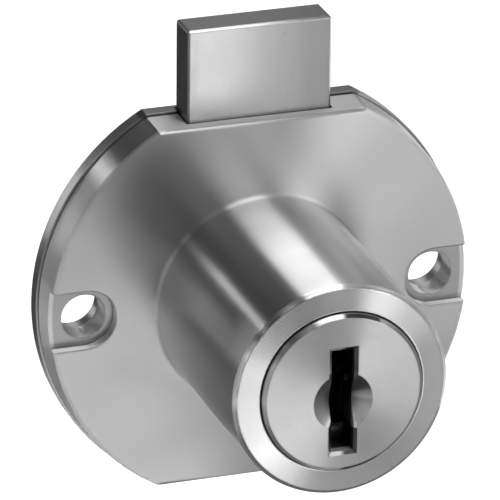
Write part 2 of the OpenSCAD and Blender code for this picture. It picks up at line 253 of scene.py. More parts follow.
def lathe_marks():
    """Fine circular tool marks about the barrel axis, and the wider bands between them."""
    band_share = 0.16
    tree, given, end = new_group(
        "Lathe marks", [("Marks per metre", 5000.0)], ["Marks", "Bands", "Radius"]
    )
    _, x, y, z = object_axes(tree)
    flat = put(tree, "ShaderNodeCombineXYZ", {0: x, 1: z, 2: 0.0}).outputs[0]
    radius = vectors(tree, "LENGTH", flat, out="Value")
    line = put(tree, "ShaderNodeCombineXYZ", {0: radius, 1: y, 2: 0.0}).outputs[0]
    wide = maths(tree, "MULTIPLY", given[0], band_share)
    tree.links.new(noise(tree, line, given[0], 3.0, roughness=0.6), end["Marks"])
    tree.links.new(noise(tree, line, wide, 2.0), end["Bands"])
    tree.links.new(radius, end["Radius"])


def long_grain():
    """Grain that runs along one axis of the piece, set by how much each axis is stretched."""
    tree, given, end = new_group(
        "Long grain", [("Across X", 6000.0), ("Across Y", 6000.0), ("Across Z", 200.0)], ["Grain"]
    )
    axes = object_axes(tree)[1:]
    drawn = {i: maths(tree, "MULTIPLY", axis, given[i]) for i, axis in enumerate(axes)}
    place = put(tree, "ShaderNodeCombineXYZ", drawn).outputs[0]
    tree.links.new(noise(tree, place, 1.0, 4.0, roughness=0.65), end["Grain"])


def handling():
    """Soft uneven patches that years of handling and plating leave, and a fine blasted grain."""
    tree, given, end = new_group(
        "Handling", [("Patch size", 0.006), ("Grain size", 0.00012)], ["Patches", "Blast"]
    )
    coords = object_axes(tree)[0]
    per_metre = [maths(tree, "DIVIDE", 1.0, size) for size in (given[0], given[1])]
    patches = noise(tree, coords, per_metre[0], 3.0, distortion=0.4)
    tree.links.new(ramp(tree, patches, 0.32, 0.68), end["Patches"])
    tree.links.new(noise(tree, coords, per_metre[1], 2.0), end["Blast"])


def soft_edges():
    """Sharp edges rounded over, as plating leaves them, and a mask that is 1 where they turn, for a
    painted highlight along them.
    """
    tree, given, end = new_group("Edge softening", [("Radius", 0.0002)], ["Normal", "Edge highlight"])
    rounded = put(tree, "ShaderNodeBevel", {"Radius": given["Radius"]}, samples=6).outputs[0]
    true = put(tree, "ShaderNodeNewGeometry").outputs["Normal"]
    turned = maths(tree, "SUBTRACT", 1.0, vectors(tree, "DOT_PRODUCT", rounded, true, "Value"))
    tree.links.new(rounded, end["Normal"])
    tree.links.new(ramp(tree, turned, 0.02, 0.2), end["Edge highlight"])


def corner_shade():
    """Painted shade in the corners: 1 in the open, falling to 0 in a tight corner."""
    tree, given, end = new_group(
        "Corner shade", [("Reach", 0.0004), ("Shaded at", 0.45), ("Clean at", 0.95)], ["Clean"]
    )
    made = put(tree, "ShaderNodeAmbientOcclusion", {"Distance": given["Reach"]}, samples=8)
    unshaded = ramp(tree, made.outputs["AO"], given["Shaded at"], given["Clean at"])
    tree.links.new(unshaded, end["Clean"])


def upward_faces():
    """How far a face looks up along the piece's own Z."""
    tree, given, end = new_group("Upward faces", [("Low", 0.5), ("High", 0.8)], ["Up"])
    normal = put(tree, "ShaderNodeNewGeometry").outputs["Normal"]
    own = in_frame(tree, normal, "NORMAL", "WORLD", "OBJECT")
    height = put(tree, "ShaderNodeSeparateXYZ", {0: own}).outputs[2]
    tree.links.new(ramp(tree, height, given["Low"], given["High"]), end["Up"])


def leaned_face():
    """A normal tipped outwards from the barrel axis, as on a slightly rounded turned face."""
    tree, given, end = new_group(
        "Leaned face", [("Normal", (0, 0, 1)), ("Lean", 0.1)], ["Normal"]
    )
    _, x, _, z = object_axes(tree)
    flat = put(tree, "ShaderNodeCombineXYZ", {0: x, 1: 0.0, 2: z}).outputs[0]
    outward = vectors(tree, "NORMALIZE", flat)
    in_place = in_frame(tree, outward, "VECTOR", "OBJECT", "WORLD")
    tip = vectors(tree, "SCALE", in_place, given["Lean"])
    leaned = vectors(tree, "NORMALIZE", vectors(tree, "ADD", given["Normal"], tip))
    tree.links.new(leaned, end["Normal"])


EFFECTS = (
    lathe_marks,
    long_grain,
    handling,
    soft_edges,
    corner_shade,
    upward_faces,
    leaned_face,
)


def placed(tree, name, values=None):
    """Puts one of the shared groups into a material."""
    made = put(tree, "ShaderNodeGroup", values, node_tree=bpy.data.node_groups[name])
    return made.outputs


def shaded(tree, colour, tone, low, high):
    """The finish's colour, darker where the tone is low and lighter where it is high."""
    dark = [c * low for c in colour] + [1.0]
    light = [min(1.0, c * high) for c in colour] + [1.0]
    return put(tree, "ShaderNodeMix", {0: tone, 6: dark, 7: light}, data_type="RGBA").outputs[2]


def bumped(tree, height, distance, strength=1.0, normal=None):
    """A bump from a height that varies between 0 and 1."""
    inputs = {"Height": height, "Distance": distance, "Strength": strength}
    made = put(tree, "ShaderNodeBump", inputs)
    if normal is not None:
        tree.links.new(normal, made.inputs["Normal"])
    return made.outputs[0]


def blend(tree, share, low, high):
    """One value as the share goes to 0, another as it goes to 1."""
    made = put(tree, "ShaderNodeMapRange", {"Value": share, "To Min": low, "To Max": high})
    return made.outputs["Result"]


def scaled(tree, colour, share):
    """The colour times a value."""
    return vectors(tree, "SCALE", colour, share)


def chosen(tree, share, a, b):
    """The first value where the share is 0, the second where it is 1."""
    return put(tree, "ShaderNodeMix", {0: share, 2: a, 3: b}, data_type="FLOAT").outputs[0]


def darkened(tree, colour, unshaded, left=0.12):
    """Painted shade: the colour, brought down to a share of itself where the given share falls to
    0.
    """
    return scaled(tree, colour, blend(tree, unshaded, left, 1.0))


def metal(name, anisotropy=0.0):
    """A new metal material; gives its tree and its shader."""
    made = bpy.data.materials.new(name)
    if made.name != name:
        raise RuntimeError("there is a material of this name already: " + name)
    made.use_nodes = True
    tree = made.node_tree
    shader = next(n for n in tree.nodes if n.type == "BSDF_PRINCIPLED")
    shader.inputs["Metallic"].default_value = 1.0
    shader.inputs["Anisotropic"].default_value = anisotropy
    return tree, shader


def turned_metal(name, anisotropy):
    """A new metal material that is turned about the barrel axis; gives its tree and its shader."""
    tree, shader = metal(name, anisotropy)
    shader.inputs["Anisotropic Rotation"].default_value = 0.25
    _, x, _, z = object_axes(tree)
    along = put(tree, "ShaderNodeCombineXYZ", {0: maths(tree, "MULTIPLY", z, -1.0), 1: 0.0, 2: x})
    tangent = in_frame(tree, along.outputs[0], "VECTOR", "OBJECT", "WORLD")
    tree.links.new(tangent, shader.inputs["Tangent"])
    return tree, shader


def wired(tree, shader, colour, rough, normal=None):
    """Joins what varies over the surface to the shader."""
    tree.links.new(colour, shader.inputs["Base Color"])
    tree.links.new(rough, shader.inputs["Roughness"])
    if normal is not None:
        tree.links.new(normal, shader.inputs["Normal"])


def case_nickel(finish, sizes):
    """Satin nickel on the casting: turned plate, barrel and ring, cast sides and sunk pads."""
    tree, shader = turned_metal("turned_case", 1.0)
    _, x, y, z = object_axes(tree)
    lathe = placed(tree, "Lathe marks", {"Marks per metre": 6500.0})
    hand = placed(tree, "Handling", {"Patch size": 0.009})
    edge = placed(tree, "Edge softening", {"Radius": finish.edge})
    up = placed(tree, "Upward faces", {"Low": 0.6, "High": 0.9})["Up"]
    # painted shade in the corners
    unshaded = placed(tree, "Corner shade", {"Reach": 0.3 * MM, "Shaded at": 0.35, "Clean at": 0.8})
    # where each part of the casting lies, measured backwards from the plate's face
    foot_y, pad_y, side_y, rim_y = -0.55 * MM, 0.125 * MM, 0.2 * MM, 0.35 * MM
    on_ring = beyond(tree, y, -sizes.ring_y, -0.1 * MM)
    on_barrel = beyond(tree, y, foot_y, -0.25 * MM)
    below_face = beyond(tree, y, pad_y, 0.075 * MM)
    in_pad = maths(tree, "MULTIPLY", below_face, away(tree, x, sizes.pad_in, 0.35 * MM))
    cast = maths(tree, "MULTIPLY", in_pad, away(tree, z, sizes.pad_half, -0.15 * MM))
    flats = away(tree, z, sizes.flat_z, 0.05 * MM)
    off_turned = maths(tree, "MAXIMUM", in_pad, beyond(tree, y, side_y, 0.1 * MM))
    rim = maths(
        tree,
        "MULTIPLY",
        beyond(tree, lathe["Radius"], sizes.plate_r + 0.03 * MM, 0.05 * MM),
        beyond(tree, y, rim_y, -0.1 * MM),
    )
    # painted highlight along the sharp edges and the plate's rounded rim
    edges = maths(tree, "MAXIMUM", edge["Edge highlight"], rim)
    # painted highlight on the pads' upward walls and their outer strip
    pad_rim = beyond(tree, lathe["Radius"], sizes.plate_r - 0.025 * MM, 0.075 * MM)
    lit_wall = maths(tree, "MULTIPLY", in_pad, maths(tree, "MAXIMUM", pad_rim, up))
    # bands and specks, then the light and shade that the photograph has on edges, pads and flats
    edge_highlight, pad_highlight, flat_shade = 1.4, 1.5, 0.64
    speck = maths(tree, "SUBTRACT", hand["Blast"], 0.5)
    tone = maths(tree, "MULTIPLY", lathe["Bands"], 0.5)
    tone = summed(tree, tone, (hand["Patches"], 0.5), (speck, 1.2))
    colour = shaded(tree, finish.case_colour, tone, 0.95, 1.03)
    # each share paints the colour: highlights on the edges and pad walls, shade on the flats
    for where, share in ((edges, edge_highlight), (lit_wall, pad_highlight), (flats, flat_shade)):
        colour = scaled(tree, colour, blend(tree, where, 1.0, share))
    # painted shade in the corners of the pads and sides, none on the turned faces
    corners = maths(tree, "MAXIMUM", unshaded["Clean"], maths(tree, "SUBTRACT", 1.0, off_turned))
    rough = summed(
        tree,
        0.37,
        (on_barrel, -0.10),
        (on_ring, -0.06),
        (flats, 0.16),
        (edges, 0.12),
        (cast, 0.10),
        (lathe["Bands"], 0.04),
        (hand["Patches"], 0.03),
    )
    lean = maths(tree, "MULTIPLY", on_ring, 0.08)
    rounded = placed(tree, "Leaned face", {"Normal": edge["Normal"], "Lean": lean})["Normal"]
    marks = bumped(tree, lathe["Marks"], finish.mark_depth, 0.6, rounded)
    blasted = maths(tree, "MULTIPLY", hand["Blast"], blend(tree, cast, 0.25, 1.0))
    grain = bumped(tree, blasted, 0.004 * MM, 1.0, marks)
    wired(tree, shader, darkened(tree, colour, corners), rough, grain)


def cover_nickel(finish, sizes):
    """Satin nickel on the stamped cover, with turned faces, painted shade on its sheared flats and
    painted shade in its corners.
    """
    tree, shader = turned_metal("stamped_cover", 0.5)
    _, _, _, z = object_axes(tree)
    lathe = placed(tree, "Lathe marks", {"Marks per metre": 4000.0})
    hand = placed(tree, "Handling", {"Patch size": 0.012})
    edge = placed(tree, "Edge softening", {"Radius": finish.edge})
    # painted shade in the corners
    unshaded = placed(tree, "Corner shade", {"Reach": 0.4 * MM})["Clean"]
    # painted shade on the sheared flats
    shaded_faces = away(tree, z, sizes.cover_z, 0.05 * MM)
    colour = shaded(tree, finish.cover_colour, hand["Patches"], 0.92, 1.06)
    colour = scaled(tree, colour, blend(tree, shaded_faces, 1.0, 0.4))
    rough = summed(tree, 0.26, (hand["Patches"], 0.08), (lathe["Bands"], 0.06))
    marks = bumped(tree, lathe["Marks"], finish.mark_depth, 1.0, edge["Normal"])
    wired(tree, shader, darkened(tree, colour, unshaded), rough, marks)


def bolt_nickel(finish, sizes):
    """Satin nickel on the bolt: upright grain and a slightly crowned front, with painted shade on
    its sheared sides and top and a painted highlight along its edges.
    """
    crown_r = 0.048
    tree, shader = metal("brushed_bolt")
    _, x, _, z = object_axes(tree)
    grain = placed(
        tree, "Long grain", {"Across X": 5200.0, "Across Y": 5200.0, "Across Z": 160.0}
    )["Grain"]
    hand = placed(tree, "Handling", {"Patch size": 0.005})
    edge = placed(tree, "Edge softening", {"Radius": finish.edge * 0.5})
    # painted shade on the sheared sides and top
    shaded_faces = maths(
        tree,
        "MAXIMUM",
        away(tree, x, sizes.bolt_side, 0.03 * MM),
        beyond(tree, z, sizes.bolt_top - 0.05 * MM, 0.03 * MM),
    )
    speck = summed(tree, grain, (hand["Blast"], 0.3))
    colour = shaded(tree, finish.bolt_colour, speck, 0.88, 1.05)
    # painted highlight along the edges
    for where, share in ((shaded_faces, 0.55), (edge["Edge highlight"], 1.5)):
        colour = scaled(tree, colour, blend(tree, where, 1.0, share))
    rough = summed(tree, 0.24, (grain, 0.10), (hand["Patches"], 0.04))
    crown = maths(tree, "MULTIPLY", maths(tree, "MULTIPLY", x, x), -1.0 / (2 * crown_r))
    domed = bumped(tree, crown, 1.0, 1.0, edge["Normal"])
    wired(tree, shader, colour, rough, bumped(tree, grain, 0.0008 * MM, 1.0, domed))


def plug_nickel(finish, sizes):
    """Satin nickel on the plug: a fine blasted face round a dished mouth, with painted light and
    shade in the mouth and painted shade inside the keyway.
    """
    tree, shader = turned_metal("turned_plug", 0.95)
    _, x, y, z = object_axes(tree)
    lathe = placed(tree, "Lathe marks", {"Marks per metre": 7000.0})
    hand = placed(tree, "Handling", {"Patch size": 0.004})
    edge = placed(tree, "Edge softening", {"Radius": finish.edge * 0.7})
    floor = placed(tree, "Upward faces", {"Low": 0.8, "High": 0.95})["Up"]
    unshaded = placed(tree, "Corner shade", {"Reach": 0.3 * MM, "Shaded at": 0.35, "Clean at": 0.85})
    # painted shade darkens the keyway inside, but its floor stays unshaded a little further back
    outside = beyond(tree, y, -sizes.keyway_y, -0.4 * MM)
    floor_outside = beyond(tree, y, -sizes.keyway_y + 0.3 * MM, -0.2 * MM)
    outside = maths(tree, "MAXIMUM", outside, maths(tree, "MULTIPLY", floor, floor_outside))
    # painted light on the left side of the mouth and painted shade on its right side
    mouth_side_light = blend(tree, beyond(tree, x, 0.0, 0.3 * MM), 1.5, 0.15)
    # light falls on the dish's lower half, as photographed
    dish_foot, dish_head = -2.6 * MM, 0.8 * MM
    low_dish = ramp(tree, z, dish_foot, dish_head, 1.45, 0.22)
    off_middle = maths(tree, "ADD", z, sizes.dish_drop)
    mouth = chosen(tree, away(tree, off_middle, sizes.dish_half, -0.1 * MM), mouth_side_light, low_dish)
    # painted light on the keyway's upward floor
    mouth = maths(tree, "MAXIMUM", mouth, maths(tree, "MULTIPLY", floor, 1.5))
    below_face = beyond(tree, y, -sizes.plug_y, 0.02 * MM)
    sunk = maths(tree, "MULTIPLY", below_face, away(tree, x, sizes.mouth_half, -0.2 * MM))
    speck = summed(tree, hand["Patches"], (hand["Blast"], 0.8))
    colour = shaded(tree, finish.plug_colour, speck, 0.88, 1.05)
    colour = scaled(tree, colour, chosen(tree, sunk, 1.0, mouth))
    # painted shade in the corners and inside the keyway
    unshaded = maths(tree, "MULTIPLY", unshaded["Clean"], outside)
    rough = summed(tree, 0.28, (hand["Blast"], 0.06), (hand["Patches"], 0.04))
    rounded = placed(tree, "Leaned face", {"Normal": edge["Normal"], "Lean": 0.03})["Normal"]
    marks = bumped(tree, lathe["Marks"], finish.mark_depth, 0.4, rounded)
    blast = bumped(tree, hand["Blast"], 0.0012 * MM, 1.0, marks)
    wired(tree, shader, darkened(tree, colour, unshaded, 0.08), rough, blast)


def plain_steel(finish):
    """Plain steel with a thin uneven film of grease."""
    tree, shader = metal("greased_steel")
    hand = placed(tree, "Handling", {"Patch size": 0.003})
    colour = shaded(tree, finish.steel_colour, hand["Patches"], 0.82, 1.10)
    rough = summed(tree, 0.24, (hand["Patches"], 0.18))
    wired(tree, shader, colour, rough, bumped(tree, hand["Blast"], 0.0015 * MM))


def rivet_steel(finish):
    """Bright steel of the upset rivet heads, with press marks."""
    tree, shader = metal("pressed_rivets")
    hand = placed(tree, "Handling", {"Patch size": 0.0015, "Grain size": 0.0003})
    colour = shaded(tree, finish.steel_colour, hand["Patches"], 0.95, 1.25)
    rough = summed(tree, 0.2, (hand["Patches"], 0.12))
    wired(tree, shader, colour, rough, bumped(tree, hand["Blast"], 0.004 * MM))


def wafer_silver(finish, sizes):
    """Stamped nickel silver, with the tear of the punch across its edges, and painted shade on all
    but its upward edges near the front.
    """
    tree, shader = metal("stamped_wafers")
    grain = placed(
        tree, "Long grain", {"Across X": 2600.0, "Across Y": 500.0, "Across Z": 2600.0}
    )["Grain"]
    hand = placed(tree, "Handling", {"Patch size": 0.002})
    torn_lit_edges = placed(tree, "Upward faces", {"Low": 0.5, "High": 0.8})["Up"]
    _, _, y, _ = object_axes(tree)
    # painted shade over the wafers, but for their upward edges near the front
    lit_near_edges = maths(tree, "MULTIPLY", beyond(tree, y, -sizes.wafer_y, -0.75 * MM), torn_lit_edges)
    colour = shaded(tree, finish.wafer_colour, hand["Patches"], 1.1, 1.35)
    rough = summed(tree, 0.24, (grain, 0.16), (torn_lit_edges, 0.35))
    punched = bumped(tree, grain, 0.003 * MM)
    wired(tree, shader, darkened(tree, colour, lit_near_edges, 0.15), rough, punched)


def spring_wire(finish):
    """Drawn spring wire, unevenly bright."""
    tree, shader = metal("drawn_wire")
    hand = placed(tree, "Handling", {"Patch size": 0.0008, "Grain size": 0.00008})
    colour = shaded(tree, finish.wire_colour, hand["Patches"], 0.8, 1.12)
    wired(tree, shader, colour, summed(tree, 0.18, (hand["Blast"], 0.2)))


def dress(node, material):
    """Gives a node of the model its finish."""
    mesh = NODES[node].data
    mesh.materials.clear()
    mesh.materials.append(material)


# ---- geometry building ----


def geometry_tree(name, inputs):
    """An empty geometry tree with named inputs; gives the tree, its input and output nodes."""
    tree = bpy.data.node_groups.new(name, "GeometryNodeTree")
    tree.interface.new_socket("Geometry", in_out="INPUT", socket_type="NodeSocketGeometry")
    for label, kind, default in inputs:
        socket = tree.interface.new_socket(label, in_out="INPUT", socket_type=kind)
        if default is not None:
            socket.default_value = default
    tree.interface.new_socket("Geometry", in_out="OUTPUT", socket_type="NodeSocketGeometry")
    start = tree.nodes.new("NodeGroupInput")
    end = tree.nodes.new("NodeGroupOutput")
    return tree, start.outputs, end


def points_object(name, places, stretch=None):
    """A mesh of loose points, one where each copy goes."""
    mesh = bpy.data.meshes.new(name)
    mesh.from_pydata(places, [], [])
    if stretch is not None:
        layer = mesh.attributes.new("stretch", "FLOAT", "POINT")
        layer.data.foreach_set("value", [stretch] * len(places))
    made = bpy.data.objects.new(name, mesh)
    bpy.context.scene.collection.objects.link(made)
    return made


def grown(made, tree, values):
    """Runs a geometry tree on an object with the given values and keeps the plain mesh it makes."""
    modifier = made.modifiers.new(tree.name, "NODES")
    modifier.node_group = tree
    for item in tree.interface.items_tree:
        if item.item_type == "SOCKET" and item.in_out == "INPUT" and item.name in values:
            modifier[item.identifier] = values[item.name]
    bpy.context.view_layer.update()
    evaluated = made.evaluated_get(bpy.context.evaluated_depsgraph_get())
    mesh = bpy.data.meshes.new_from_object(evaluated)
    made.modifiers.remove(modifier)
    made.data = mesh
    mesh.name = made.name


def copied(tree, given, shape, coat, end, size=None):
    """Sets the shape on each point, makes the copies real and gives them their metal."""
    inputs = {"Points": given["Geometry"], "Instance": shape}
    if size is not None:
        inputs["Scale"] = size
    copies = put(tree, "GeometryNodeInstanceOnPoints", inputs).outputs[0]
    real = put(tree, "GeometryNodeRealizeInstances", {0: copies}).outputs[0]
    smooth = put(tree, "GeometryNodeSetShadeSmooth", {0: real}).outputs[0]
    coated = put(tree, "GeometryNodeSetMaterial", {"Geometry": smooth, "Material": coat})
    tree.links.new(coated.outputs[0], end.inputs[0])


def spring_tree():
    """Coils with closed ends, one spring on each point, standing up from it."""
    tree, given, end = geometry_tree(
        "Coil springs",
        [
            ("Wire diameter", "NodeSocketFloat", 0.0002),
            ("Coil diameter", "NodeSocketFloat", 0.0014),
            ("Length", "NodeSocketFloat", 0.0039),
            ("Coils", "NodeSocketInt", 7),
            ("Wire", "NodeSocketMaterial", None),
        ],
    )
    steps_a_coil = 24.0
    closed_coils = 0.9
    end_thickness = 2.1  # of the wire, at the two closed ends together
    wire_r = maths(tree, "MULTIPLY", given["Wire diameter"], 0.5)
    mean_r = maths(tree, "SUBTRACT", maths(tree, "MULTIPLY", given["Coil diameter"], 0.5), wire_r)
    count = maths(tree, "MULTIPLY", given["Coils"], steps_a_coil)
    path = put(tree, "GeometryNodeMeshLine", {"Count": count}).outputs[0]
    index = put(tree, "GeometryNodeInputIndex").outputs[0]
    along = maths(tree, "DIVIDE", index, maths(tree, "SUBTRACT", count, 1.0))
    turn = maths(tree, "MULTIPLY", maths(tree, "MULTIPLY", along, given["Coils"]), math.tau)
    closed = maths(tree, "DIVIDE", closed_coils, given["Coils"])
    rise = put(
        tree,
        "ShaderNodeMapRange",
        {"Value": along, "From Min": closed, "From Max": maths(tree, "SUBTRACT", 1.0, closed)},
    ).outputs["Result"]
    ends = maths(tree, "MULTIPLY", given["Wire diameter"], end_thickness)
    travel = maths(tree, "SUBTRACT", given["Length"], ends)
    flat_part = maths(
        tree, "MULTIPLY", maths(tree, "PINGPONG", along, 1.0), given["Wire diameter"]
    )
    height = maths(tree, "ADD", maths(tree, "MULTIPLY", rise, travel), flat_part)
    place = put(
        tree,
        "ShaderNodeCombineXYZ",
        {
            0: maths(tree, "MULTIPLY", mean_r, maths(tree, "COSINE", turn)),
            1: maths(tree, "MULTIPLY", mean_r, maths(tree, "SINE", turn)),
            2: maths(tree, "ADD", height, wire_r),
        },
    ).outputs[0]
    bent = put(tree, "GeometryNodeSetPosition", {"Geometry": path, "Position": place}).outputs[0]
    curve = put(tree, "GeometryNodeMeshToCurve", {0: bent}).outputs[0]
    section = put(tree, "GeometryNodeCurvePrimitiveCircle", {"Resolution": 8, "Radius": wire_r})
    wire = put(
        tree,
        "GeometryNodeCurveToMesh",
        {"Curve": curve, "Profile Curve": section.outputs[0], "Fill Caps": True},
    ).outputs[0]
    stretch = put(tree, "GeometryNodeInputNamedAttribute", {"Name": "stretch"}, data_type="FLOAT")
    size = put(tree, "ShaderNodeCombineXYZ", {0: 1.0, 1: 1.0, 2: stretch.outputs[0]}).outputs[0]
    copied(tree, given, wire, given["Wire"], end, size)
    return tree


def rivet_tree():
    """Low domed rivet heads with a small flat on top, one on each point, facing the back."""
    tree, given, end = geometry_tree(
        "Rivets",
        [
            ("Head radius", "NodeSocketFloat", 0.0019),
            ("Head height", "NodeSocketFloat", 0.0007),
            ("Shank length", "NodeSocketFloat", 0.003),
            ("Steel", "NodeSocketMaterial", None),
        ],
    )
    rings = 14
    round_steps = 48
    shank_share = 0.52  # of the head's radius
    fullness = 1.4  # above 1 the dome is flatter at its rim
    outline = put(tree, "GeometryNodeMeshLine", {"Count": rings + 3}).outputs[0]
    index = put(tree, "GeometryNodeInputIndex").outputs[0]
    share = put(
        tree, "ShaderNodeMapRange", {"Value": index, "From Min": 0.0, "From Max": float(rings)}
    ).outputs["Result"]
    quarter = maths(tree, "MULTIPLY", share, math.pi / 2)
    dome_r = maths(tree, "MULTIPLY", given["Head radius"], maths(tree, "SINE", quarter))
    fall = maths(tree, "POWER", maths(tree, "COSINE", quarter), fullness)
    dome_y = maths(tree, "MULTIPLY", given["Head height"], fall)
    past_rim = maths(tree, "GREATER_THAN", index, rings + 0.5)
    at_end = maths(tree, "GREATER_THAN", index, rings + 1.5)
    shank_r = maths(tree, "MULTIPLY", given["Head radius"], shank_share)
    shank_y = maths(tree, "MULTIPLY", given["Shank length"], -1.0)
    radius = chosen(tree, past_rim, dome_r, shank_r)
    depth = chosen(tree, at_end, dome_y, shank_y)
    place = put(tree, "ShaderNodeCombineXYZ", {0: radius, 1: depth, 2: 0.0}).outputs[0]
    profile = put(tree, "GeometryNodeSetPosition", {"Geometry": outline, "Position": place})
    curve = put(tree, "GeometryNodeMeshToCurve", {0: profile.outputs[0]}).outputs[0]
    circle = put(
        tree, "GeometryNodeCurvePrimitiveCircle", {"Resolution": round_steps, "Radius": 1e-6}
    ).outputs[0]
    spun = put(tree, "GeometryNodeCurveToMesh", {"Curve": circle, "Profile Curve": curve})
    merged = put(tree, "GeometryNodeMergeByDistance", {0: spun.outputs[0], "Distance": 4e-6})
    to_the_back = (math.radians(90), 0, 0)
    turned = put(
        tree, "GeometryNodeTransform", {"Geometry": merged.outputs[0], "Rotation": to_the_back}
    ).outputs[0]
    copied(tree, given, turned, given["Steel"], end)
    return tree


# ---- operators ----


class LOCK_OT_finishes(bpy.types.Operator):
    """Build the shared finish groups and every metal finish"""

    bl_idname = "drawer_lock.finishes"
    bl_label = "Metal finishes"

    def execute(self, context):
        finish, sizes = context.scene.lock_finish, context.scene.lock_sizes
        for effect in EFFECTS:
            effect()
        for build in (case_nickel, cover_nickel, bolt_nickel, plug_nickel, wafer_silver):
            build(finish, sizes)
        for build in (plain_steel, rivet_steel, spring_wire):
            build(finish)
        return {"FINISHED"}


class LOCK_OT_case(bpy.types.Operator):
    """Finish the case and its back cover"""

    bl_idname = "drawer_lock.case"
    bl_label = "Case and cover"

    def execute(self, context):
        dress("case", bpy.data.materials["turned_case"])
        dress("back_cover", bpy.data.materials["stamped_cover"])
        return {"FINISHED"}


class LOCK_OT_bolt(bpy.types.Operator):
    """Finish the bolt, the driver and its pin"""

    bl_idname = "drawer_lock.bolt"
    bl_label = "Bolt and driver"

    def execute(self, context):
        dress("bolt", bpy.data.materials["brushed_bolt"])
        dress("driver", bpy.data.materials["greased_steel"])
        dress("crank_pin", bpy.data.materials["greased_steel"])
        return {"FINISHED"}


class LOCK_OT_plug(bpy.types.Operator):
    """Finish the plug, its wafers and its retainer"""

    bl_idname = "drawer_lock.plug"
    bl_label = "Plug and wafers"

    def execute(self, context):
        dress("plug", bpy.data.materials["turned_plug"])
        for node in WAFERS + ["retainer_wafer"]:
            dress(node, bpy.data.materials["stamped_wafers"])
        return {"FINISHED"}


class LOCK_OT_springs(bpy.types.Operator):
    """Coil the wafer springs and the retainer spring, each in its pocket"""

    bl_idname = "drawer_lock.springs"
    bl_label = "Springs"

    def execute(self, context):
        sizes = context.scene.lock_sizes
        tree = spring_tree()
        for node in SPRINGS:
            low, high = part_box(node)
            foot = ((low.x + high.x) / 2, (low.y + high.y) / 2, low.z)
            piece = points_object(node + "_coils", [foot], (high.z - low.z) / sizes.spring_len)
            grown(
                piece,
                tree,
                {
                    "Wire diameter": sizes.wire_d,
                    "Coil diameter": sizes.coil_d,
                    "Length": sizes.spring_len,
                    "Coils": sizes.coils,
                    "Wire": bpy.data.materials["drawn_wire"],
                },
            )
            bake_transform(piece)
            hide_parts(node)
        return {"FINISHED"}


class LOCK_OT_rivets(bpy.types.Operator):
    """Set the four rivets that hold the cover"""

    bl_idname = "drawer_lock.rivets"
    bl_label = "Rivets"

    def execute(self, context):
        sizes = context.scene.lock_sizes
        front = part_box("cover_rivets")[0].y
        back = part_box("back_cover")[1].y
        places = [
            (sx * sizes.rivet_out, back, sz * sizes.rivet_up) for sx in (-1, 1) for sz in (-1, 1)
        ]
        piece = points_object("upset_rivets", places)
        grown(
            piece,
            rivet_tree(),
            {
                "Head radius": sizes.rivet_head_r,
                "Head height": sizes.rivet_head_h,
                "Shank length": back - front,
                "Steel": bpy.data.materials["pressed_rivets"],
            },
        )
        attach(piece, "case")
        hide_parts("cover_rivets")
        return {"FINISHED"}


def looking(side, top, back, place):
    """The placement of a lamp or camera from its three directions and its place."""
    turned = Matrix((side, top, back)).transposed().to_4x4()
    return Matrix.Translation(place) @ turned


def soft_lamp(name, toward, distance, wide, tall, brightness, upright):
    """A soft box that looks at the lock from a direction, as bright all over as the number says."""
    data = bpy.data.lights.new(name, "AREA")
    data.shape = "RECTANGLE"
    data.size, data.size_y = wide, tall
    data.energy = math.pi * wide * tall * brightness
    made = bpy.data.objects.new(name, data)
    direction = Vector(toward).normalized()
    side = Vector(upright).cross(direction).normalized()
    made.matrix_world = looking(side, direction.cross(side), direction, direction * distance)
    bpy.context.scene.collection.objects.link(made)


# name, direction from the lock, distance, width, height, brightness, direction of the height
SOFT_BOXES = (
    ("overhead_strip", (0.06, 0.10, 0.90), 0.30, 0.165, 0.36, 3.7, (0, 1, 0)),
    ("upper_left_strip", (-0.67, 0.25, 0.52), 0.30, 0.03, 0.30, 1.9, (0, 1, 0)),
    ("right_side", (0.92, 0.30, 0.12), 0.35, 0.10, 0.20, 1.8, (0, 0, 1)),
    ("right_back", (0.75, 0.53, 0.40), 0.35, 0.17, 0.17, 0.38, (0, 0, 1)),
    ("top_right_back", (0.42, 0.45, 0.66), 0.35, 0.12, 0.14, 0.45, (0, 1, 0)),
    ("top_back", (0.30, 0.80, 0.45), 0.35, 0.20, 0.12, 0.4, (0, 0, 1)),
    ("front_right", (0.52, -0.85, 0.01), 0.40, 0.12, 0.20, 0.85, (0, 0, 1)),
    ("front_right_top", (0.62, -0.66, 0.36), 0.40, 0.16, 0.14, 2.8, (0, 0, 1)),
    ("front_low_strip", (0.10, -0.90, -0.46), 0.40, 0.10, 0.17, 3.1, (0, 0, 1)),
    ("front_middle", (0.34, -0.86, -0.39), 0.40, 0.07, 0.22, 0.5, (0, 0, 1)),
    ("front_top", (0.28, -0.60, 0.74), 0.35, 0.18, 0.12, 1.1, (0, 0, 1)),
    ("left_front_low", (-0.60, -0.60, -0.50), 0.40, 0.14, 0.16, 1.2, (0, 0, 1)),
    ("left_rim_upper", (-0.38, -0.49, 0.79), 0.35, 0.06, 0.10, 1.0, (0, 0, 1)),
    ("left_rim_front", (-0.84, -0.46, 0.27), 0.35, 0.06, 0.10, 1.5, (0, 0, 1)),
    ("left_edge", (-0.86, -0.40, -0.10), 0.35, 0.08, 0.26, 1.6, (0, 0, 1)),
    ("left_back", (-0.85, 0.45, 0.15), 0.35, 0.14, 0.12, 0.45, (0, 0, 1)),
    ("left_rim", (-0.49, 0.87, 0.07), 0.35, 0.04, 0.12, 2.4, (0, 0, 1)),
    ("right_low", (0.86, 0.31, -0.39), 0.35, 0.12, 0.12, 2.5, (0, 0, 1)),
)
BEHIND_LOCK = (0.3, 0.87, -0.39)  # where the camera looks
BEFORE_LOCK = (0.60, -0.72, -0.35)  # the lighter side of the room


